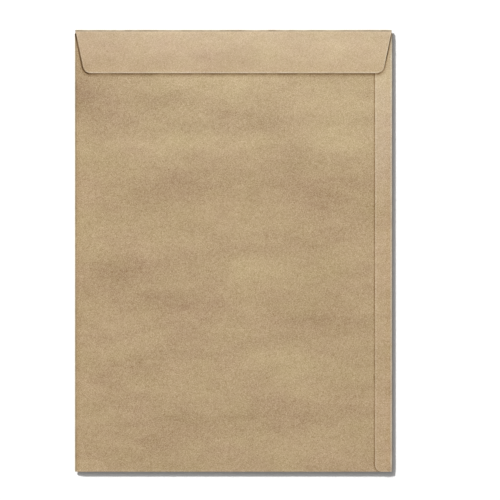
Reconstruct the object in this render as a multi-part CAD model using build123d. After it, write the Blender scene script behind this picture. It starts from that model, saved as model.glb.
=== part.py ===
"""A portrait pocket envelope of brown kraft paper, empty, lying flat with its flap side up.

One die-cut sheet, folded and glued. The front panel lies on the table, the back panel comes over
from the left fold, a seam strip comes over the right edge and is glued onto the back panel, a tab
at the bottom is folded inside and glued under the back panel, and the top flap is folded down over
the mouth, unglued. +X is right, +Y is towards the flap's fold, +Z is up. Millimetres.
"""

import math
import os

from build123d import *

# The envelope as folded
WIDTH = 230.0
HEIGHT = 320.0
PAPER = 0.12  # kraft paper of 80 g/m2
POCKET_GAP = 1.2  # clear space between the front panel and the tab: the folds spring open

# The top flap
FLAP_DEPTH = 31.4
FLAP_SIDE_SLANT = 6.5  # how far each side runs in from the fold to the free edge
FLAP_CORNER_R = 5.4
FLAP_ROOT_INSET = 0.5  # the flap's ends at its fold, in from the envelope's sides
FLAP_CLEARANCE = 0.3  # air between the strip and the flap at the fold
FLAP_RISE_DEG = 1.1  # the unglued flap springs up by this much

# The seam strip on the right
STRIP_WIDTH = 12.5
STRIP_CORNER_R = 4.8

# The back panel
MOUTH_SETBACK = 2.2  # from where the top fold starts to bend down to the panel's top edge
SEAM_CLEARANCE = 1.0  # from where the right fold starts to bend to the panel's right edge

# The bottom tab, inside
TAB_DEPTH = 16.0
TAB_SIDE_INSET = 5.0  # its ends at the fold, in from the envelope's sides
TAB_SIDE_SLANT = 5.0
TAB_CORNER_R = 5.0
TAB_SLIT = 0.5  # the cut that frees each end of the tab from the front panel's lower edge

# Levels of the stacked layers
TAB_TOP = PAPER + POCKET_GAP + PAPER
BACK_TOP = TAB_TOP + PAPER
STRIP_TOP = BACK_TOP + PAPER
FLAP_ROOT_TOP = STRIP_TOP + FLAP_CLEARANCE + PAPER

# Outer radius of each fold: it turns the sheet from the table up to its own layer
BOTTOM_R = TAB_TOP / 2
LEFT_R = BACK_TOP / 2
RIGHT_R = STRIP_TOP / 2
TOP_R = FLAP_ROOT_TOP / 2

# Where the flat front panel ends and each fold starts to bend
HALF_W = WIDTH / 2
HALF_H = HEIGHT / 2
LEFT_BEND = -HALF_W + LEFT_R
RIGHT_BEND = HALF_W - RIGHT_R
BOTTOM_BEND = -HALF_H + BOTTOM_R
TOP_BEND = HALF_H - TOP_R

MOUTH_Y = TOP_BEND - MOUTH_SETBACK
FLAP_ROOT_HALF = HALF_W - FLAP_ROOT_INSET
TAB_HALF = HALF_W - TAB_SIDE_INSET
TRIM_HEIGHT = 10.0  # more than the envelope's thickness


def rectangle(x0, y0, x1, y1):
    """A rectangle on the table between two opposite corners."""
    return Pos((x0 + x1) / 2, (y0 + y1) / 2) * Rectangle(x1 - x0, y1 - y0)


def outline(points, rounded, radius):
    """A polygon on the table with the corners at the places in rounded turned to radius."""
    face = make_face(Polyline(*points, close=True))
    corners = [v for v in face.vertices() if any((v.center() - Vector(*p)).length < 1e-6 for p in rounded)]
    return fillet(corners, radius)


def folded_over(bend, radius, reach, rise_deg, plan):
    """One fold and the field of paper that it brings back over the front panel.

    bend is the upright plane where the fold starts, its x axis pointing out of the envelope and its
    y axis up. The sheet turns up round radius and comes back for reach, climbing by rise_deg, and
    plan is the field's outline seen from above.
    """
    rise = math.radians(rise_deg)
    end = math.pi / 2 - rise
    middle = (end - math.pi / 2) / 2
    inner = radius - PAPER

    def on_arc(r, angle):
        return (r * math.cos(angle), radius + r * math.sin(angle))

    def back_from(point):
        return (point[0] - reach * math.cos(rise), point[1] + reach * math.sin(rise))

    outer_end = on_arc(radius, end)
    inner_end = on_arc(inner, end)
    edges = [
        ThreePointArc((0, 0), on_arc(radius, middle), outer_end),
        Line(outer_end, back_from(outer_end)),
        Line(back_from(outer_end), back_from(inner_end)),
        Line(back_from(inner_end), inner_end),
        ThreePointArc(inner_end, on_arc(inner, middle), (0, PAPER)),
        Line((0, PAPER), (0, 0)),
    ]
    section = bend * make_face(Wire(edges))
    sheet = extrude(section, amount=HEIGHT, both=True)
    return sheet & extrude(plan, amount=TRIM_HEIGHT)


# The front panel, with the shoulders beside the mouth and the ears beside the tab
tab_free = TAB_HALF + TAB_SLIT
front_plan = rectangle(LEFT_BEND, BOTTOM_BEND, RIGHT_BEND, MOUTH_Y)
front_plan += rectangle(-FLAP_ROOT_HALF, MOUTH_Y, FLAP_ROOT_HALF, TOP_BEND)
front_plan += rectangle(LEFT_BEND, -HALF_H, -tab_free, BOTTOM_BEND)
front_plan += rectangle(tab_free, -HALF_H, RIGHT_BEND, BOTTOM_BEND)
front_panel = extrude(front_plan, amount=PAPER)

# The back panel, over the left fold
back_panel = folded_over(
    Plane(origin=(LEFT_BEND, 0, 0), x_dir=(-1, 0, 0), z_dir=(0, 1, 0)),
    LEFT_R,
    WIDTH,
    0,
    rectangle(-HALF_W, -HALF_H, RIGHT_BEND - SEAM_CLEARANCE, MOUTH_Y),
)

# The seam strip, over the right fold and onto the back panel
strip_x = HALF_W - STRIP_WIDTH
strip_low = (strip_x, -HALF_H)
strip_high = (strip_x, MOUTH_Y)
strip_plan = outline(
    [strip_low, (HALF_W, -HALF_H), (HALF_W, MOUTH_Y), strip_high],
    [strip_low, strip_high],
    STRIP_CORNER_R,
)
seam_strip = folded_over(
    Plane(origin=(RIGHT_BEND, 0, 0), x_dir=(1, 0, 0), z_dir=(0, -1, 0)),
    RIGHT_R,
    WIDTH,
    0,
    strip_plan,
)

# The tab, over the bottom fold and under the back panel
tab_y = -HALF_H + TAB_DEPTH
tab_left = (-TAB_HALF + TAB_SIDE_SLANT, tab_y)
tab_right = (TAB_HALF - TAB_SIDE_SLANT, tab_y)
tab_plan = outline(
    [
        (-TAB_HALF, -HALF_H),
        (TAB_HALF, -HALF_H),
        (TAB_HALF, BOTTOM_BEND),
        tab_right,
        tab_left,
        (-TAB_HALF, BOTTOM_BEND),
    ],
    [tab_left, tab_right],
    TAB_CORNER_R,
)
bottom_tab = folded_over(
    Plane(origin=(0, BOTTOM_BEND, 0), x_dir=(0, -1, 0), z_dir=(-1, 0, 0)),
    BOTTOM_R,
    HEIGHT,
    0,
    tab_plan,
)

# The flap, over the top fold and down across the mouth
flap_y = HALF_H - FLAP_DEPTH
flap_left = (-FLAP_ROOT_HALF + FLAP_SIDE_SLANT, flap_y)
flap_right = (FLAP_ROOT_HALF - FLAP_SIDE_SLANT, flap_y)
flap_plan = outline(
    [
        (-FLAP_ROOT_HALF, HALF_H),
        (-FLAP_ROOT_HALF, TOP_BEND),
        flap_left,
        flap_right,
        (FLAP_ROOT_HALF, TOP_BEND),
        (FLAP_ROOT_HALF, HALF_H),
    ],
    [flap_left, flap_right],
    FLAP_CORNER_R,
)
top_flap = folded_over(
    Plane(origin=(0, TOP_BEND, 0), x_dir=(0, 1, 0), z_dir=(1, 0, 0)),
    TOP_R,
    2 * FLAP_DEPTH,
    FLAP_RISE_DEG,
    flap_plan,
)

envelope_sheet = front_panel + back_panel + seam_strip + bottom_tab + top_flap

os.makedirs("parts", exist_ok=True)
export_step(envelope_sheet, "parts/envelope_sheet.step")
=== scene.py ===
"""A pocket envelope of brown kraft paper, lying flat with its flap side up.

The envelope is one sheet, so it is one mesh: the front panel on the floor, a back panel over the
left fold, a seam strip over the right fold, a tab folded inside at the bottom and a flap over the
top fold. Each field of the sheet is a grid of points on the paper's middle surface, the fields are
welded along the folds, and the sheet then gets its real thickness. Sizes are in millimetres unless
a comment says otherwise.
"""

import math

import bpy
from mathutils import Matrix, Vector, noise


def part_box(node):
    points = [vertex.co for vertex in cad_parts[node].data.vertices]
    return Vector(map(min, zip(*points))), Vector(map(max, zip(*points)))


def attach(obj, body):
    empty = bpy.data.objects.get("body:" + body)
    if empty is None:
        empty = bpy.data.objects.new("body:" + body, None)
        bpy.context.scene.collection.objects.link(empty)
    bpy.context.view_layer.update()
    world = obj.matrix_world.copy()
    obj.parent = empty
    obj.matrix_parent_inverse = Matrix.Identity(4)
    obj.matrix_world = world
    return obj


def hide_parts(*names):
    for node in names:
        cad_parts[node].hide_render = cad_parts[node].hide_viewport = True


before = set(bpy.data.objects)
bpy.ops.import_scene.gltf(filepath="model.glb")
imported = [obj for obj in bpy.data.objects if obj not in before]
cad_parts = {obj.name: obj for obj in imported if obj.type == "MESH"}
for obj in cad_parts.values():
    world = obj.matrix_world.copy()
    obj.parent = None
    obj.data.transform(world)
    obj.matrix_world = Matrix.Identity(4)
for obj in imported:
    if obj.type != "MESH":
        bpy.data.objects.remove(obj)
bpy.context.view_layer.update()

MM = 0.001
NODE = "envelope_sheet"
low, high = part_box(NODE)

# ---------------------------------------------------------------- the folded envelope
HALF_W = (high.x - low.x) / 2 / MM
HALF_H = (high.y - low.y) / 2 / MM
PAPER = 0.12
GLUE = 0.02

FLAP_DEPTH = 31.4
FLAP_SIDE_SLANT = 6.5
FLAP_CORNER_R = 5.4
FLAP_ROOT_INSET = 0.5
STRIP_WIDTH = 12.5
STRIP_CORNER_R = 4.8
MOUTH_SETBACK = 2.2
SEAM_CLEARANCE = 1.0
TAB_DEPTH = 16.0
TAB_SIDE_INSET = 5.0
TAB_SIDE_SLANT = 5.0
TAB_CORNER_R = 5.0
TAB_SLIT = 0.5

# Heights of the stack, between the middle surfaces of the layers
FOLD_GAP = 0.80  # front panel to back panel at the folds
BELLY = 1.38  # how far the rim stands off the floor, because the front panel bellies down
BELLY_POWER = 6  # how square the belly is, seen from above; 2 would be an ellipse
BELLY_FLAT = 0.35  # the share of the way from the middle to the rim that lies on the floor
BACK_SWELL = 0.45  # how far the back panel rises above its own rim
SWELL_REACH = 22.0  # how far from a fold that rise takes
CORNER_PRESS = 0.26  # the share of the rim's height by which the pressed corners are lower
CORNER_REACH = 5.0
CORNER_START = 0.9  # the share of the way out from which the back panel follows the front's height
NEXT_LAYER = PAPER + GLUE
FLAP_ROOT_GAP = 1.15  # front panel to flap at the top fold
FLAP_BACK = 0.50  # flap over back panel where it is highest
FLAP_TIP = 0.15  # flap over back panel at the free edge
FLAP_RISE_END = 0.6  # the share of the flap's depth at which it stops rising
FLAP_FALL_START = 0.5  # and at which it starts to come down again

# Waves in the back panel: how high, how long across and along the envelope, and a seed
BACK_RIPPLES = ((0.30, 70, 38, 3.1), (0.10, 30, 14, 8.6))

# How far each fold's nose stands out, and how blunt it is
NOSE_POWER = 1.4  # above 1, a fold comes to a blunt point like a pressed crease
LEFT_NOSE = 0.35
RIGHT_NOSE = 0.38
BOTTOM_NOSE = 0.30
TOP_NOSE = 0.42

LEFT_BEND = -HALF_W + PAPER / 2 + LEFT_NOSE
RIGHT_BEND = HALF_W - PAPER / 2 - RIGHT_NOSE
BOTTOM_BEND = -HALF_H + PAPER / 2 + BOTTOM_NOSE
TOP_BEND = HALF_H - PAPER / 2 - TOP_NOSE
MOUTH_Y = TOP_BEND - MOUTH_SETBACK
FLAP_Y = HALF_H - FLAP_DEPTH
FLAP_RUN = TOP_BEND - FLAP_Y
FLAP_ROOT_HALF = HALF_W - FLAP_ROOT_INSET
STRIP_X = HALF_W - STRIP_WIDTH
TAB_HALF = HALF_W - TAB_SIDE_INSET
TAB_SLIT_END = TAB_HALF + TAB_SLIT
TAB_Y = -HALF_H + TAB_DEPTH

# The outward normal of the flap's right side
FLAP_SIDE = math.hypot(FLAP_RUN, FLAP_SIDE_SLANT)
FLAP_NORMAL = (FLAP_RUN / FLAP_SIDE, -FLAP_SIDE_SLANT / FLAP_SIDE)


def smooth(t):
    """0 below 0, 1 above 1 and a smooth rise between."""
    t = min(max(t, 0.0), 1.0)
    return t * t * (3 - 2 * t)


def ripple(x, y, across, along, seed):
    """Soft uneven waves from -1 to 1, about as long along X and along Y as said."""
    return noise.noise(Vector((x / across, y / along, seed)))


def front_height(x, y):
    """Middle surface of the front panel: its belly is on the floor and its rim stands off it."""
    outward = (abs(x) / HALF_W) ** BELLY_POWER + (abs(y) / HALF_H) ** BELLY_POWER
    outward = outward ** (1 / BELLY_POWER)
    lift = BELLY * smooth((outward - BELLY_FLAT) / (1 - BELLY_FLAT))
    corner = smooth((abs(x) - HALF_W) / CORNER_REACH + 1)
    corner *= smooth((abs(y) - HALF_H) / CORNER_REACH + 1)
    return PAPER / 2 + lift * (1 - CORNER_PRESS * corner)


def back_height(x, y):
    """Middle surface of the back panel: level with its rim, and a little swollen between."""
    swell = BACK_SWELL
    for height, across, along, seed in BACK_RIPPLES:
        swell += height * ripple(x, y, across, along, seed)
    for distance in (x - LEFT_BEND, RIGHT_BEND - x, y - BOTTOM_BEND, TOP_BEND - y):
        swell *= 1 - math.exp(-max(distance, 0) / SWELL_REACH)
    rim = PAPER / 2 + BELLY
    pressed = rim - front_height(x, y)
    outward = max(abs(x) / HALF_W, abs(y) / HALF_H)
    follow = smooth((outward - CORNER_START) / (1 - CORNER_START))
    return rim + FOLD_GAP + swell - pressed * follow


def strip_height(x, y):
    return back_height(x, y) + NEXT_LAYER


def tab_height(x, y):
    return back_height(x, y) - NEXT_LAYER


def flap_height(x, y):
    """The flap rises from the fold to its highest, and comes down a little to its free edge."""
    down = min(max((TOP_BEND - y) / FLAP_RUN, 0), 1)
    root = front_height(x, TOP_BEND) + FLAP_ROOT_GAP - back_height(x, TOP_BEND)
    over = root + (FLAP_BACK - root) * smooth(down / FLAP_RISE_END)
    fall = smooth((down - FLAP_FALL_START) / (1 - FLAP_FALL_START))
    return back_height(x, y) + over + (FLAP_TIP - FLAP_BACK) * fall


# ---------------------------------------------------------------- the grids' lines
GRID_STEP = 3.0
STRIP_STEP = 2.4
ARC_STEPS = 8
FOLD_STEPS = 12
RIM_LINES = (0.45, 0.9, 1.8, 3.0, 4.4)  # how far in from a cut edge the closer lines lie
LEAST_CELL = 0.2  # a line closer than this to a field's end is left out
TOLERANCE = 1e-6
WELD_DIGITS = 4  # points whose coordinates agree to so many decimals are one point


def lines(stops, step=GRID_STEP):
    """Every stop in order, with evenly spaced lines between them no further apart than step."""
    stops = sorted(set(stops))
    out = [stops[0]]
    for a, b in zip(stops, stops[1:]):
        n = max(1, math.ceil((b - a) / step - TOLERANCE))
        out += [a + (b - a) * i / n for i in range(1, n + 1)]
    return out


def arc_lines(end, inward, radius):
    """Lines across a rounded corner, closer together near the end that it rounds."""
    return [
        end + inward * radius * (1 - math.cos(math.pi / 2 * i / ARC_STEPS))
        for i in range(ARC_STEPS + 1)
    ]


def corner_inset(distance, radius):
    """How far a rounded corner's edge stands in at a distance from the end of the piece."""
    if distance >= radius:
        return 0.0
    return radius - math.sqrt(radius**2 - (radius - distance) ** 2)


def both_sides(*places):
    """The places left and right of the middle."""
    return [side * place for side in (-1, 1) for place in places]


rim_x = both_sides(*(FLAP_ROOT_HALF - r for r in RIM_LINES))
panel_x = lines([LEFT_BEND, RIGHT_BEND, *both_sides(TAB_HALF, TAB_SLIT_END), *rim_x])
wide_x = lines([-FLAP_ROOT_HALF, FLAP_ROOT_HALF, *panel_x])
corner_y = [*arc_lines(-HALF_H, 1, STRIP_CORNER_R), *arc_lines(MOUTH_Y, -1, STRIP_CORNER_R)]
side_y = lines([-HALF_H, BOTTOM_BEND, MOUTH_Y, *corner_y])


# ---------------------------------------------------------------- the fields of the sheet
class Sheet:
    """Collects the fields' quads and welds the points that two fields share."""

    def __init__(self):
        self.points, self.faces, self.materials, self.known = [], [], [], {}

    def point(self, p):
        """The index of a point in mm, which is kept in metres."""
        key = tuple(round(c, WELD_DIGITS) for c in p)
        if key not in self.known:
            self.known[key] = len(self.points)
            self.points.append([c * MM for c in p])
        return self.known[key]

    def grid(self, rows, material, keep=None):
        """rows is a list of rows of points; keep says which cells are paper."""
        index = [[self.point(p) for p in row] for row in rows]
        for i in range(len(rows) - 1):
            for j in range(len(rows[0]) - 1):
                cell = (index[i][j], index[i][j + 1], index[i + 1][j + 1], index[i + 1][j])
                paper = keep is None or keep(rows[i][j], rows[i + 1][j + 1])
                if len(set(cell)) == 4 and paper:
                    self.faces.append(cell)
                    self.materials.append(material)


def fold(start, outward, nose, lower, upper):
    """The points of one line round a fold, from the lower layer's height to the upper one's."""
    middle, half = (lower + upper) / 2, (upper - lower) / 2
    out = []
    for i in range(FOLD_STEPS + 1):
        turn = math.pi * (i / FOLD_STEPS - 0.5)
        reach = nose * max(math.cos(turn), 0.0) ** NOSE_POWER
        x = start[0] + outward[0] * reach
        y = start[1] + outward[1] * reach
        out.append((x, y, middle + half * math.sin(turn)))
    return out


def front_cells(a, b):
    """Whether the cell between corners a and b belongs to the front panel."""
    x, y = (a[0] + b[0]) / 2, (a[1] + b[1]) / 2
    if y > MOUTH_Y:
        return True
    if not LEFT_BEND < x < RIGHT_BEND:
        return False
    return y > BOTTOM_BEND or abs(x) > TAB_SLIT_END


def front_rows():
    return [[(x, y, front_height(x, y)) for x in wide_x] for y in lines([*side_y, TOP_BEND])]


def side_fold(bend, outward, nose, y, upper_height):
    """The line at y round the left or the right fold."""
    return fold((bend, y), (outward, 0), nose, front_height(bend, y), upper_height(bend, y))


def back_rows():
    """Round the left fold and across the back, to a little before the right fold."""
    right = RIGHT_BEND - SEAM_CLEARANCE
    back_x = [x for x in panel_x[1:] if x < right - LEAST_CELL] + [right]
    rows = []
    for y in side_y:
        round_fold = side_fold(LEFT_BEND, -1, LEFT_NOSE, y, back_height)
        rows.append(round_fold + [(x, y, back_height(x, y)) for x in back_x])
    return rows


def strip_rows():
    """Round the right fold and over the back panel, with two rounded corners."""
    full = RIGHT_BEND - STRIP_X
    strip_lines = lines([0, full, *(full - r for r in RIM_LINES)], step=STRIP_STEP)[1:]
    rows = []
    for y in side_y:
        round_fold = side_fold(RIGHT_BEND, 1, RIGHT_NOSE, y, strip_height)
        inset = corner_inset(min(y + HALF_H, MOUTH_Y - y), STRIP_CORNER_R)
        strip_x = [RIGHT_BEND - t * (1 - inset / full) for t in strip_lines]
        rows.append(round_fold + [(x, y, strip_height(x, y)) for x in strip_x])
    return rows


def end_fold(fold_x, bend, outward, nose, upper_height):
    """The rows round the bottom or the top fold."""
    columns = [
        fold((x, bend), (0, outward), nose, front_height(x, bend), upper_height(x, bend))
        for x in fold_x
    ]
    return [list(row) for row in zip(*columns)]


def tab_rows():
    """Round the bottom fold and up inside, under the back panel."""
    tab_x = [x for x in panel_x if abs(x) <= TAB_HALF + TOLERANCE]
    rows = end_fold(tab_x, BOTTOM_BEND, -1, BOTTOM_NOSE, tab_height)
    for y in lines([BOTTOM_BEND, TAB_Y, *arc_lines(TAB_Y, -1, TAB_CORNER_R)])[1:]:
        half = TAB_HALF - TAB_SIDE_SLANT * (y - BOTTOM_BEND) / (TAB_Y - BOTTOM_BEND)
        half -= corner_inset(TAB_Y - y, TAB_CORNER_R)
        rows.append([(x, y, tab_height(x, y)) for x in (t / TAB_HALF * half for t in tab_x)])
    return rows


def flap_half_width(y):
    """Half the flap's width at y: slanted sides that run into rounded corners."""
    centre_y = FLAP_Y + FLAP_CORNER_R
    centre_x = FLAP_ROOT_HALF
    centre_x -= (FLAP_CORNER_R + (centre_y - TOP_BEND) * FLAP_NORMAL[1]) / FLAP_NORMAL[0]
    if y >= centre_y + FLAP_CORNER_R * FLAP_NORMAL[1]:
        return FLAP_ROOT_HALF - FLAP_SIDE_SLANT * (TOP_BEND - y) / FLAP_RUN
    return centre_x + math.sqrt(max(FLAP_CORNER_R**2 - (y - centre_y) ** 2, 0))


def flap_rows():
    """Round the top fold and down over the back panel."""
    rows = end_fold(wide_x, TOP_BEND, 1, TOP_NOSE, flap_height)
    flap_y = lines([TOP_BEND, FLAP_Y, *arc_lines(FLAP_Y, 1, FLAP_CORNER_R)])[:-1]
    for y in reversed(flap_y):
        share = flap_half_width(y) / FLAP_ROOT_HALF
        rows.append([(x, y, flap_height(x, y)) for x in (t * share for t in wide_x)])
    return rows


PLAIN, BACK, STRIP, FLAP = range(4)  # the order of the piece's materials


def envelope_mesh():
    """The whole sheet as one welded surface."""
    sheet = Sheet()
    sheet.grid(front_rows(), PLAIN, front_cells)
    sheet.grid(back_rows(), BACK)
    sheet.grid(strip_rows(), STRIP)
    sheet.grid(tab_rows(), PLAIN)
    sheet.grid(flap_rows(), FLAP)
    return sheet


# ---------------------------------------------------------------- short names for shader nodes
NOISE_MIDDLE = 0.5


class Graph:
    """The nodes of one material or world."""

    def __init__(self, material):
        material.use_nodes = True
        self.tree = material.node_tree
        self.tree.nodes.clear()

    def node(self, kind, **values):
        node = self.tree.nodes.new(kind)
        for name, value in values.items():
            setattr(node, name, value)
        return node

    def feed(self, socket, value):
        """Link a socket to the value, or set it where the value is a constant."""
        if isinstance(value, bpy.types.NodeSocket):
            self.tree.links.new(value, socket)
        else:
            socket.default_value = value

    def math(self, operation, *values, clamp=False):
        node = self.node("ShaderNodeMath", operation=operation, use_clamp=clamp)
        for socket, value in zip(node.inputs, values):
            self.feed(socket, value)
        return node.outputs[0]

    def add(self, a, b):
        return self.math("ADD", a, b)

    def subtract(self, a, b):
        return self.math("SUBTRACT", a, b)

    def multiply(self, a, b):
        return self.math("MULTIPLY", a, b)

    def greatest(self, a, b):
        return self.math("MAXIMUM", a, b)

    def absolute(self, value):
        return self.math("ABSOLUTE", value)

    def total(self, *values):
        out = values[0]
        for value in values[1:]:
            out = self.add(out, value)
        return out

    def vector(self, operation, *values):
        node = self.node("ShaderNodeVectorMath", operation=operation)
        for socket, value in zip(node.inputs, values):
            self.feed(socket, value)
        return node.outputs[0]

    def length(self, vector):
        node = self.node("ShaderNodeVectorMath", operation="LENGTH")
        self.feed(node.inputs[0], vector)
        return node.outputs["Value"]

    def fade(self, value, start, end):
        """1 at start, falling smoothly to 0 at end."""
        node = self.node("ShaderNodeMapRange", interpolation_type="SMOOTHSTEP")
        self.feed(node.inputs["Value"], value)
        node.inputs["From Min"].default_value = start
        node.inputs["From Max"].default_value = end
        node.inputs["To Min"].default_value = 1.0
        node.inputs["To Max"].default_value = 0.0
        return node.outputs[0]

    def turned(self, place, degrees, stretch):
        """The place turned about Z, then divided by a stretch along each axis, in mm."""
        node = self.node("ShaderNodeMapping", vector_type="TEXTURE")
        self.feed(node.inputs["Vector"], place)
        node.inputs["Rotation"].default_value = (0, 0, math.radians(degrees))
        node.inputs["Scale"].default_value = stretch
        return node.outputs[0]

    def noise_node(self, place, detail=1.0, roughness=0.5, ragged=0.0):
        """A noise whose lumps are about one unit of place across."""
        node = self.node("ShaderNodeTexNoise", noise_dimensions="3D")
        self.feed(node.inputs["Vector"], place)
        node.inputs["Scale"].default_value = 1.0
        node.inputs["Detail"].default_value = detail
        node.inputs["Roughness"].default_value = roughness
        node.inputs["Distortion"].default_value = ragged
        return node

    def noise(self, place, **character):
        """Noise round zero."""
        return self.subtract(self.noise_node(place, **character).outputs[0], NOISE_MIDDLE)

    def warped(self, place, size, reach):
        """The place pushed about by soft noise, by up to about half of reach, in mm."""
        soft = self.noise_node(self.turned(place, 0, (size, size, size)), detail=3.0)
        middle = (NOISE_MIDDLE, NOISE_MIDDLE, NOISE_MIDDLE)
        push = self.vector("SUBTRACT", soft.outputs["Color"], middle)
        return self.vector("ADD", place, self.vector("MULTIPLY", push, reach))

    def rounded(self, side, end, radius, slope):
        """Distance outside an outline whose side and end meet in a rounded corner.

        side and end are the distances outside its two straight edges, and slope is the dot product
        of their normals.
        """
        a = self.add(side, radius)
        b = self.add(end, radius)
        past_a = self.math("GREATER_THAN", self.subtract(a, self.multiply(b, slope)), 0.0)
        past_b = self.math("GREATER_THAN", self.subtract(b, self.multiply(a, slope)), 0.0)
        corner = self.multiply(past_a, past_b)
        squares = self.add(self.multiply(a, a), self.multiply(b, b))
        cross = self.multiply(self.multiply(a, b), 2 * slope)
        square = self.math("DIVIDE", self.subtract(squares, cross), 1 - slope**2)
        arc = self.subtract(self.math("SQRT", self.greatest(square, 0.0)), radius)
        straight = self.greatest(side, end)
        rest = self.multiply(straight, self.subtract(1.0, corner))
        return self.add(rest, self.multiply(arc, corner))


# ---------------------------------------------------------------- distances over the paper, in mm
FLAP_END = HALF_W - 13.0  # beyond this the flap's outline turns up into its sides
SIDE_START = HALF_W - 7.0  # from here outwards the outline is one of its sides
CHANGE_RATE = 0.35  # how fast one side's mark gives way to the next along the outline


def from_left(g, x, y):
    return g.add(x, HALF_W)


def from_right(g, x, y):
    return g.subtract(HALF_W, x)


def from_bottom(g, x, y):
    return g.add(y, HALF_H)


def from_top(g, x, y):
    return g.subtract(HALF_H, y)


def strip_distance(g, x, y):
    """How far a place on the envelope lies outside the strip's outline."""
    return g.rounded(g.subtract(STRIP_X, x), g.subtract(-HALF_H, y), STRIP_CORNER_R, 0.0)


def inside_strip(g, x, y):
    return g.multiply(strip_distance(g, x, y), -1.0)


def flap_distance(g, x, y):
    """How far a place on the envelope lies outside the flap's outline."""
    across = g.multiply(g.subtract(g.absolute(x), FLAP_ROOT_HALF), FLAP_NORMAL[0])
    down = g.multiply(g.subtract(y, TOP_BEND), FLAP_NORMAL[1])
    return g.rounded(g.add(across, down), g.subtract(FLAP_Y, y), FLAP_CORNER_R, -FLAP_NORMAL[1])


def inside_flap(g, x, y):
    return g.multiply(flap_distance(g, x, y), -1.0)


def beyond(g, place, limit):
    """A distance that ends a mark where place passes the limit."""
    return g.multiply(g.subtract(place, limit), CHANGE_RATE)


def flap_left(g, x, y):
    """Outside the flap, along its left side only."""
    return g.greatest(flap_distance(g, x, y), beyond(g, x, -SIDE_START))


def flap_right(g, x, y):
    """Outside the flap, along its right side only."""
    mirrored = g.multiply(x, -1.0)
    return g.greatest(flap_distance(g, x, y), beyond(g, mirrored, -SIDE_START))


def flap_bottom(g, x, y):
    """Outside the flap, along its free edge only."""
    return g.greatest(flap_distance(g, x, y), beyond(g, g.absolute(x), FLAP_END))


def flap_left_rim(g, x, y):
    """Inside the flap, along its left side only."""
    return g.greatest(inside_flap(g, x, y), beyond(g, x, -SIDE_START))


def flap_lip(g, x, y):
    """Inside the flap, along its free edge only."""
    return g.greatest(inside_flap(g, x, y), beyond(g, g.absolute(x), FLAP_END))


# ---------------------------------------------------------------- the paper
KRAFT = (0.488, 0.357, 0.210)
PALE_KRAFT = (0.590, 0.441, 0.275)
STRIP_KRAFT = (0.540, 0.396, 0.243)

# How far red, green and blue each follow a change of tone: the broad tone of the pulp's banks and
# of the clouds, which partly paint light and shade, is yellower where it is pale and redder where
# it is dark, grain shows most in blue, painted contact shade turns brown as it darkens, and a
# painted highlight along an edge or fold turns grey as it pales. The tint drifts between green and
# red.
CLOUD_LEAN = (0.77, 0.97, 0.98)
GRAIN_LEAN = (0.86, 1.04, 1.38)
TINT_LEAN = (-0.20, 0.50, -0.85)
PAINTED_SHADE_LEAN = (1.00, 1.20, 1.47)
PAINTED_LIGHT_LEAN = (0.50, 0.90, 1.60)

# Long soft banks in the pulp: turn in degrees, size along each axis, raggedness and strength
BANKS = (
    (3, (64, 24, 40), 0.6, 0.22),
    (-3, (26, 10, 20), 0.5, 0.22),
    (2, (9, 5.5, 8), 0.3, 0.13),
)

# Drifts of tint: turn in degrees, size along each axis and strength
TINTS = ((-8, (44, 30, 40), 0.10), (15, (12, 9, 10), 0.06))

# Paler and darker clouds on the back panel, partly the pulp's uneven tone and partly painted light
# and shade of the panel's gentle swells: centre from the envelope's middle, half length, half
# height, and how much paler or darker it is there. Soft noise pushes their outlines about.
BACK_TONE_AND_SHADE_CLOUDS = (
    (0, 124, 80, 22, 0.225),
    (80, 108, 75, 30, 0.19),
    (-25, 78, 85, 14, 0.18),
    (80, 80, 60, 18, 0.20),
    (-108, 112, 30, 34, -0.18),
    (-50, 112, 40, 10, -0.06),
    (-40, 44, 62, 20, -0.105),
    (66, 47, 60, 17, -0.095),
    (14, 16, 45, 20, 0.08),
    (16, -14, 50, 13, 0.12),
    (-84, -15, 38, 18, -0.16),
    (-50, -37, 60, 13, -0.13),
    (70, -52, 75, 16, -0.12),
    (52, -81, 62, 18, 0.14),
    (-80, -88, 42, 15, -0.10),
    (-40, -132, 60, 26, -0.12),
    (52, -117, 85, 16, -0.10),
    (62, -145, 70, 15, 0.06),
)
# Painted light and shade on the strip: paler towards the top and a little darker lower down
STRIP_PAINTED_GRADIENT = ((112, 120, 60, 66, 0.16), (112, -80, 60, 90, -0.05))
# Painted light and shade on the flap: darker at its left end and paler at its right end
FLAP_PAINTED_GRADIENT = ((-92, 138, 52, 45, -0.12), (95, 146, 70, 30, 0.08))
PUSH_SIZE = 34  # of the noise that pushes them
PUSH_REACH = (22, 11, 0)  # and how far it does, at most about half of this each way

# The fine noise: mottle, grain and single fibres that lie at four turns
SLICE = 12.0  # lifts it clear of its own zero plane, where it dies away
TALL = 40.0  # and stretches it upwards, so that it is as strong at every height of the envelope
MOTTLE_TURN = 17
MOTTLE_SIZE = (3.4, 2.9, TALL)
MOTTLE_STRENGTH = 0.02
GRAIN_TURN = 31
GRAIN_SIZE = (0.50, 0.46, TALL)
GRAIN_ROUGHNESS = 0.6
GRAIN_RAGGED = 0.4
GRAIN_STRENGTH = 2.05
FIBRE_TURNS = (12, 71, 128, 164)
FIBRE_SIZE = (3.2, 0.3, TALL)
FIBRE_STRENGTH = -0.32
FIBRE_FROM = 0.16  # how strong the noise must be to count as a fibre
FIBRE_GAIN = 3.0
SPECK_SPACING = 24.0
SPECK_SIZE = 0.8
SPECK_CORE = 0.2  # the share of a speck's size that is evenly dark or pale
SPECK_BALANCE = 0.65  # the share of specks that are darker than the pulp round them
SPECK_STRENGTH = 0.5
MARK_PATCH = 7  # the painted shade and light marks come and go over patches of this size
MARK_UNEVEN = 1.4  # and this is by how much
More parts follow.
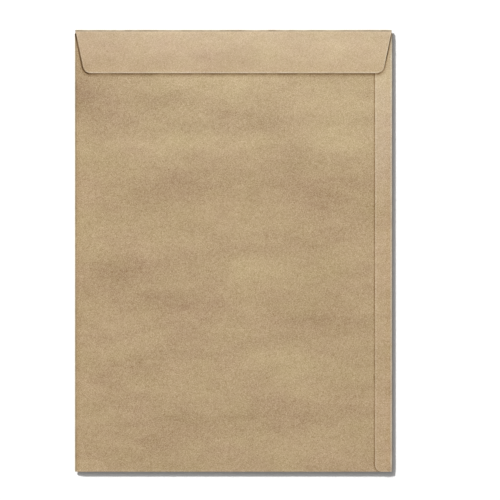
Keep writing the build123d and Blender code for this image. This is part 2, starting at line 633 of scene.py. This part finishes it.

# Painted shade and painted light on the paper: a distance over it, where the mark starts to fade,
# where it ends, its strength
# Painted shade round the flap's outline, for the contact shadow along its edges; the first mark,
# with its negative strength, is painted light that thins the real shadow cast under the free edge
PAINTED_SHADE_ROUND_FLAP = (
    (flap_bottom, 0.0, 0.6, -0.85),
    (flap_bottom, 0.9, 1.5, 0.28),
    (flap_bottom, 0.9, 3.4, 0.26),
    (flap_left, 0.65, 1.5, 0.69),
    (flap_right, 0.6, 1.6, 0.44),
    (flap_distance, 0.5, 4.5, 0.10),
)
# Painted shade on the back panel: round the flap, beside the strip's edge, along the left fold and
# along the bottom edge
BACK_PAINTED_SHADE = (
    *PAINTED_SHADE_ROUND_FLAP,
    (strip_distance, 0.3, 1.6, 0.36),
    (from_left, 0.9, 1.8, 0.42),
    (from_bottom, 0.2, 0.8, 0.14),
)
# Painted light on the back panel: highlights along the bottom edge and the left fold, trimmed a
# little over the fold's outer 4.4 mm, and a paler tone towards the top
BACK_PAINTED_LIGHT = (
    (from_bottom, 0.5, 1.6, 0.13),
    (from_left, 0.4, 1.5, 1.25),
    (from_left, 3.0, 4.4, -0.05),
    (from_top, 40.0, 130.0, 0.035),
)
# Painted shade on the strip: round the flap, and a slight painted lift just inside the strip's own
# edge
STRIP_PAINTED_SHADE = (*PAINTED_SHADE_ROUND_FLAP, (inside_strip, 0.5, 1.3, -0.05))
# Painted light on the strip: a highlight along its edge and along the right fold, trimmed a little
# over the fold's outer 5.6 mm, and a paler tone towards the top
STRIP_PAINTED_LIGHT = (
    (inside_strip, 0.5, 1.3, 0.09),
    (from_right, 0.6, 2.0, 0.48),
    (from_right, 4.2, 5.6, -0.04),
    (from_top, 85.0, 145.0, 0.10),
)
# Painted shade on the flap: a darker band along the top fold and a dark line just inside its left
# side; the negative marks are painted highlight along its free edge
FLAP_PAINTED_SHADE = (
    (from_top, 0.7, 2.2, 0.56),
    (flap_left_rim, 0.1, 0.5, 0.42),
    (flap_lip, 0.2, 0.45, -0.08),
    (flap_lip, 0.3, 1.2, -0.06),
)
# Painted light on the flap: highlights inside its outline and along its free edge, a paler, greyer
# band along the top fold and a paler tone towards the top
FLAP_PAINTED_LIGHT = (
    (inside_flap, 0.3, 1.2, 0.13),
    (flap_lip, 0.3, 1.2, 0.07),
    (from_top, 0.5, 0.9, 0.74),
    (from_top, 0.7, 2.2, 0.74),
    (from_top, 2.0, 32.0, 0.08),
)

STRIP_COARSE = 0.85
FLAP_COARSE = 0.64

# The paper's relief and gloss
GRAIN_RELIEF = 0.05
MOTTLE_RELIEF = 0.05
FIBRE_RELIEF = 0.02
ROUGHNESS = 0.82
ROUGHNESS_SPREAD = 0.15
SPECULAR = 0.12


def broad_tone(g, place, clouds):
    """The pulp's banks and the clouds, which partly paint light and shade: how much paler or darker
    it is.
    """
    tone = g.total(
        *(
            g.multiply(g.noise(g.turned(place, degrees, size), ragged=ragged), strength)
            for degrees, size, ragged, strength in BANKS
        )
    )
    pushed = g.warped(place, PUSH_SIZE, PUSH_REACH)
    for cx, cy, half_length, half_height, strength in clouds:
        offset = g.vector("SUBTRACT", pushed, (cx, cy, 0))
        offset = g.vector("MULTIPLY", offset, (1 / half_length, 1 / half_height, 0))
        tone = g.add(tone, g.multiply(g.fade(g.length(offset), 0.0, 1.0), strength))
    return tone


def tint_tone(g, place):
    """Drifts between green and red."""
    return g.total(
        *(
            g.multiply(g.noise(g.turned(place, degrees, size)), strength)
            for degrees, size, strength in TINTS
        )
    )


def fibre(g, place, degrees):
    """Thin strands that lie at a turn, and 0 between them."""
    strand = g.absolute(g.noise(g.turned(place, degrees, FIBRE_SIZE)))
    return g.multiply(g.math("SUBTRACT", strand, FIBRE_FROM, clamp=True), FIBRE_GAIN)


def specks(g, place):
    """Rare specks, each a little darker or paler than the pulp round it, and 0 elsewhere."""
    node = g.node("ShaderNodeTexVoronoi", voronoi_dimensions="2D")
    spacing = (SPECK_SPACING, SPECK_SPACING, SPECK_SPACING)
    g.feed(node.inputs["Vector"], g.turned(place, 0, spacing))
    node.inputs["Scale"].default_value = 1.0
    chance = g.node("ShaderNodeSeparateColor")
    g.feed(chance.inputs[0], node.outputs["Color"])
    strength = g.multiply(g.subtract(chance.outputs[0], SPECK_BALANCE), SPECK_STRENGTH)
    away = g.multiply(node.outputs["Distance"], SPECK_SPACING)
    return g.multiply(g.fade(away, SPECK_CORE * SPECK_SIZE, SPECK_SIZE), strength)


def kraft(name, tone, coarse=1.0, clouds=(), darker=(), paler=()):
    """Kraft paper of one tone, with its grain as coarse as said, and with its clouds and its
    painted shade and painted light.
    """
    material = bpy.data.materials.new(name)
    g = Graph(material)
    coordinates = g.node("ShaderNodeTexCoord").outputs["Object"]
    place = g.vector("MULTIPLY", coordinates, (1 / MM, 1 / MM, 1 / MM))
    xyz = g.node("ShaderNodeSeparateXYZ")
    g.feed(xyz.inputs[0], place)
    x, y = xyz.outputs["X"], xyz.outputs["Y"]

    broad = broad_tone(g, place, clouds)
    tint = tint_tone(g, place)

    lifted = g.vector("ADD", place, (0, 0, SLICE))
    mottle = g.noise(g.turned(lifted, MOTTLE_TURN, MOTTLE_SIZE))
    grain_place = g.turned(lifted, GRAIN_TURN, GRAIN_SIZE)
    grain = g.noise(grain_place, detail=2.0, roughness=GRAIN_ROUGHNESS, ragged=GRAIN_RAGGED)
    fibres = g.total(*(fibre(g, lifted, degrees) for degrees in FIBRE_TURNS))
    fine = g.total(
        g.multiply(mottle, MOTTLE_STRENGTH),
        g.multiply(grain, GRAIN_STRENGTH),
        g.multiply(fibres, FIBRE_STRENGTH),
    )
    fine = g.add(g.multiply(fine, coarse), specks(g, place))

    patches = g.noise(g.turned(place, 0, (MARK_PATCH, MARK_PATCH, MARK_PATCH)), detail=2.0)
    uneven = g.add(1.0, g.multiply(patches, MARK_UNEVEN))
    # Painted shade: each darker mark pulls the colour down and browner
    line = 1.0
    for outline, start, end, strength in darker:
        mark = g.multiply(g.fade(outline(g, x, y), start, end), strength)
        line = g.multiply(line, g.subtract(1.0, g.multiply(mark, uneven)))
    # Painted light: each paler mark lifts the colour and greys it
    edge = 0.0
    for outline, start, end, strength in paler:
        mark = g.multiply(g.fade(outline(g, x, y), start, end), strength)
        edge = g.add(edge, g.multiply(mark, uneven))

    colour = g.node("ShaderNodeCombineColor")
    leans = zip(colour.inputs, tone, CLOUD_LEAN, TINT_LEAN, GRAIN_LEAN, PAINTED_SHADE_LEAN, PAINTED_LIGHT_LEAN)
    for channel, value, cloud_lean, tint_lean, grain_lean, painted_shade_lean, painted_light_lean in leans:
        shade = g.total(
            1.0,
            g.multiply(broad, cloud_lean),
            g.multiply(tint, tint_lean),
            g.multiply(fine, grain_lean),
            g.multiply(edge, painted_light_lean),
        )
        shade = g.multiply(shade, g.math("POWER", line, painted_shade_lean))
        g.feed(channel, g.multiply(shade, value))

    relief = g.total(
        g.multiply(grain, GRAIN_RELIEF),
        g.multiply(mottle, MOTTLE_RELIEF),
        g.multiply(fibres, FIBRE_RELIEF),
    )
    bump = g.node("ShaderNodeBump")
    g.feed(bump.inputs["Height"], relief)
    bump.inputs["Strength"].default_value = 1.0
    bump.inputs["Distance"].default_value = MM

    shader = g.node("ShaderNodeBsdfPrincipled")
    g.feed(shader.inputs["Base Color"], colour.outputs[0])
    g.feed(shader.inputs["Roughness"], g.add(ROUGHNESS, g.multiply(mottle, ROUGHNESS_SPREAD)))
    g.feed(shader.inputs["Normal"], bump.outputs[0])
    shader.inputs["Specular IOR Level"].default_value = SPECULAR
    out = g.node("ShaderNodeOutputMaterial")
    g.feed(out.inputs["Surface"], shader.outputs[0])
    return material


SHARP_ANGLE = 50  # in degrees; the paper's cut edges are sharper than this


def build_envelope():
    sheet = envelope_mesh()
    mesh = bpy.data.meshes.new("folded_sheet")
    mesh.from_pydata(sheet.points, [], sheet.faces)
    piece = bpy.data.objects.new("folded_sheet", mesh)
    bpy.context.scene.collection.objects.link(piece)

    papers = (
        kraft("kraft_plain", KRAFT),
        kraft("kraft_back", KRAFT, 1.0, BACK_TONE_AND_SHADE_CLOUDS, BACK_PAINTED_SHADE, BACK_PAINTED_LIGHT),
        kraft("kraft_strip", STRIP_KRAFT, STRIP_COARSE, STRIP_PAINTED_GRADIENT, STRIP_PAINTED_SHADE, STRIP_PAINTED_LIGHT),
        kraft("kraft_flap", PALE_KRAFT, FLAP_COARSE, FLAP_PAINTED_GRADIENT, FLAP_PAINTED_SHADE, FLAP_PAINTED_LIGHT),
    )
    for paper in papers:
        mesh.materials.append(paper)
    mesh.polygons.foreach_set("material_index", sheet.materials)

    bpy.context.view_layer.objects.active = piece
    piece.select_set(True)
    bpy.ops.object.mode_set(mode="EDIT")
    bpy.ops.mesh.select_all(action="SELECT")
    bpy.ops.mesh.normals_make_consistent(inside=False)
    bpy.ops.object.mode_set(mode="OBJECT")

    thick = piece.modifiers.new("paper", "SOLIDIFY")
    thick.thickness = PAPER * MM
    thick.offset = 0
    bpy.ops.object.modifier_apply(modifier=thick.name)
    mesh.polygons.foreach_set("use_smooth", [True] * len(mesh.polygons))
    mesh.set_sharp_from_angle(angle=math.radians(SHARP_ANGLE))
    return piece


envelope = build_envelope()
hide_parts(NODE)
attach(envelope, "root")

# ---------------------------------------------------------------- floor, light and camera
# Places and sizes here are in metres where no comment says otherwise
FLOOR_HALF = 4.0
FLOOR_SEEN = (1.15, 1.145, 1.137)  # what the camera sees, pure white where no shadow falls
FLOOR_LIT = 0.85  # what light meets and throws back

KEY_LEAN = math.radians(65)  # from straight overhead
KEY_FROM = (-0.6, 0.8)  # where the key light stands, seen from above
KEY_SPREAD = math.radians(6.5)  # how wide it looks, which softens its shadows
KEY_SHARE = 0.655  # how bright the key light alone makes a white floor
FILL_PLACE = (-0.6, 0.9, 0.9)
FILL_SIZE = 0.8
FILL_WATTS = 3.0
SKY_SHARE = 0.225  # how bright the sky alone makes it

VIEW_WIDTH = 362.6  # what the picture takes in, in mm
VIEW_CENTRE = (11.93, 0.5)  # in mm
LENS = 120.0  # in mm, as is the sensor
SENSOR = 36.0
FURTHEST_SEEN = 50.0


def camera_only(g):
    """1 for what the camera sees directly or in a gloss, and 0 for light that falls on things."""
    path = g.node("ShaderNodeLightPath")
    seen = g.greatest(path.outputs["Is Camera Ray"], path.outputs["Is Glossy Ray"])
    return g.greatest(seen, path.outputs["Is Transmission Ray"])


def build_floor():
    mesh = bpy.data.meshes.new("floor")
    corners = [(-1, -1), (1, -1), (1, 1), (-1, 1)]
    mesh.from_pydata([(x * FLOOR_HALF, y * FLOOR_HALF, 0) for x, y in corners], [], [(0, 1, 2, 3)])
    floor = bpy.data.objects.new("floor", mesh)
    bpy.context.scene.collection.objects.link(floor)
    material = bpy.data.materials.new("white_floor")
    g = Graph(material)
    seen = camera_only(g)
    colour = g.node("ShaderNodeCombineColor")
    for channel, value in zip(colour.inputs, FLOOR_SEEN):
        g.feed(channel, g.add(FLOOR_LIT, g.multiply(seen, value - FLOOR_LIT)))
    shader = g.node("ShaderNodeBsdfDiffuse")
    g.feed(shader.inputs["Color"], colour.outputs[0])
    out = g.node("ShaderNodeOutputMaterial")
    g.feed(out.inputs["Surface"], shader.outputs[0])
    mesh.materials.append(material)


def build_lights():
    key = bpy.data.lights.new("key", "SUN")
    key.angle = KEY_SPREAD
    key.energy = KEY_SHARE * math.pi / math.cos(KEY_LEAN)
    lamp = bpy.data.objects.new("key", key)
    side = math.sin(KEY_LEAN)
    direction = Vector((KEY_FROM[0] * side, KEY_FROM[1] * side, math.cos(KEY_LEAN)))
    lamp.rotation_euler = direction.to_track_quat("Z", "Y").to_euler()
    bpy.context.scene.collection.objects.link(lamp)

    fill = bpy.data.lights.new("fill", "AREA")
    fill.shape = "DISK"
    fill.size = FILL_SIZE
    fill.energy = FILL_WATTS
    lamp = bpy.data.objects.new("fill", fill)
    lamp.location = FILL_PLACE
    lamp.rotation_euler = Vector(FILL_PLACE).to_track_quat("Z", "Y").to_euler()
    bpy.context.scene.collection.objects.link(lamp)


def build_sky():
    world = bpy.data.worlds.new("sky")
    bpy.context.scene.world = world
    g = Graph(world)
    sky = g.node("ShaderNodeBackground")
    g.feed(sky.inputs["Strength"], g.add(SKY_SHARE, g.multiply(camera_only(g), 1 - SKY_SHARE)))
    sky.inputs["Color"].default_value = (1, 1, 1, 1)
    out = g.node("ShaderNodeOutputWorld")
    g.feed(out.inputs["Surface"], sky.outputs[0])


def build_camera():
    camera = bpy.data.cameras.new("camera")
    camera.lens = LENS
    camera.sensor_width = SENSOR
    camera.clip_end = FURTHEST_SEEN
    eye = bpy.data.objects.new("camera", camera)
    eye.location = [c * MM for c in (*VIEW_CENTRE, VIEW_WIDTH * LENS / SENSOR)]
    bpy.context.scene.collection.objects.link(eye)
    bpy.context.scene.camera = eye


build_floor()
build_lights()
build_sky()
build_camera()
bpy.context.scene.view_settings.view_transform = "Standard"
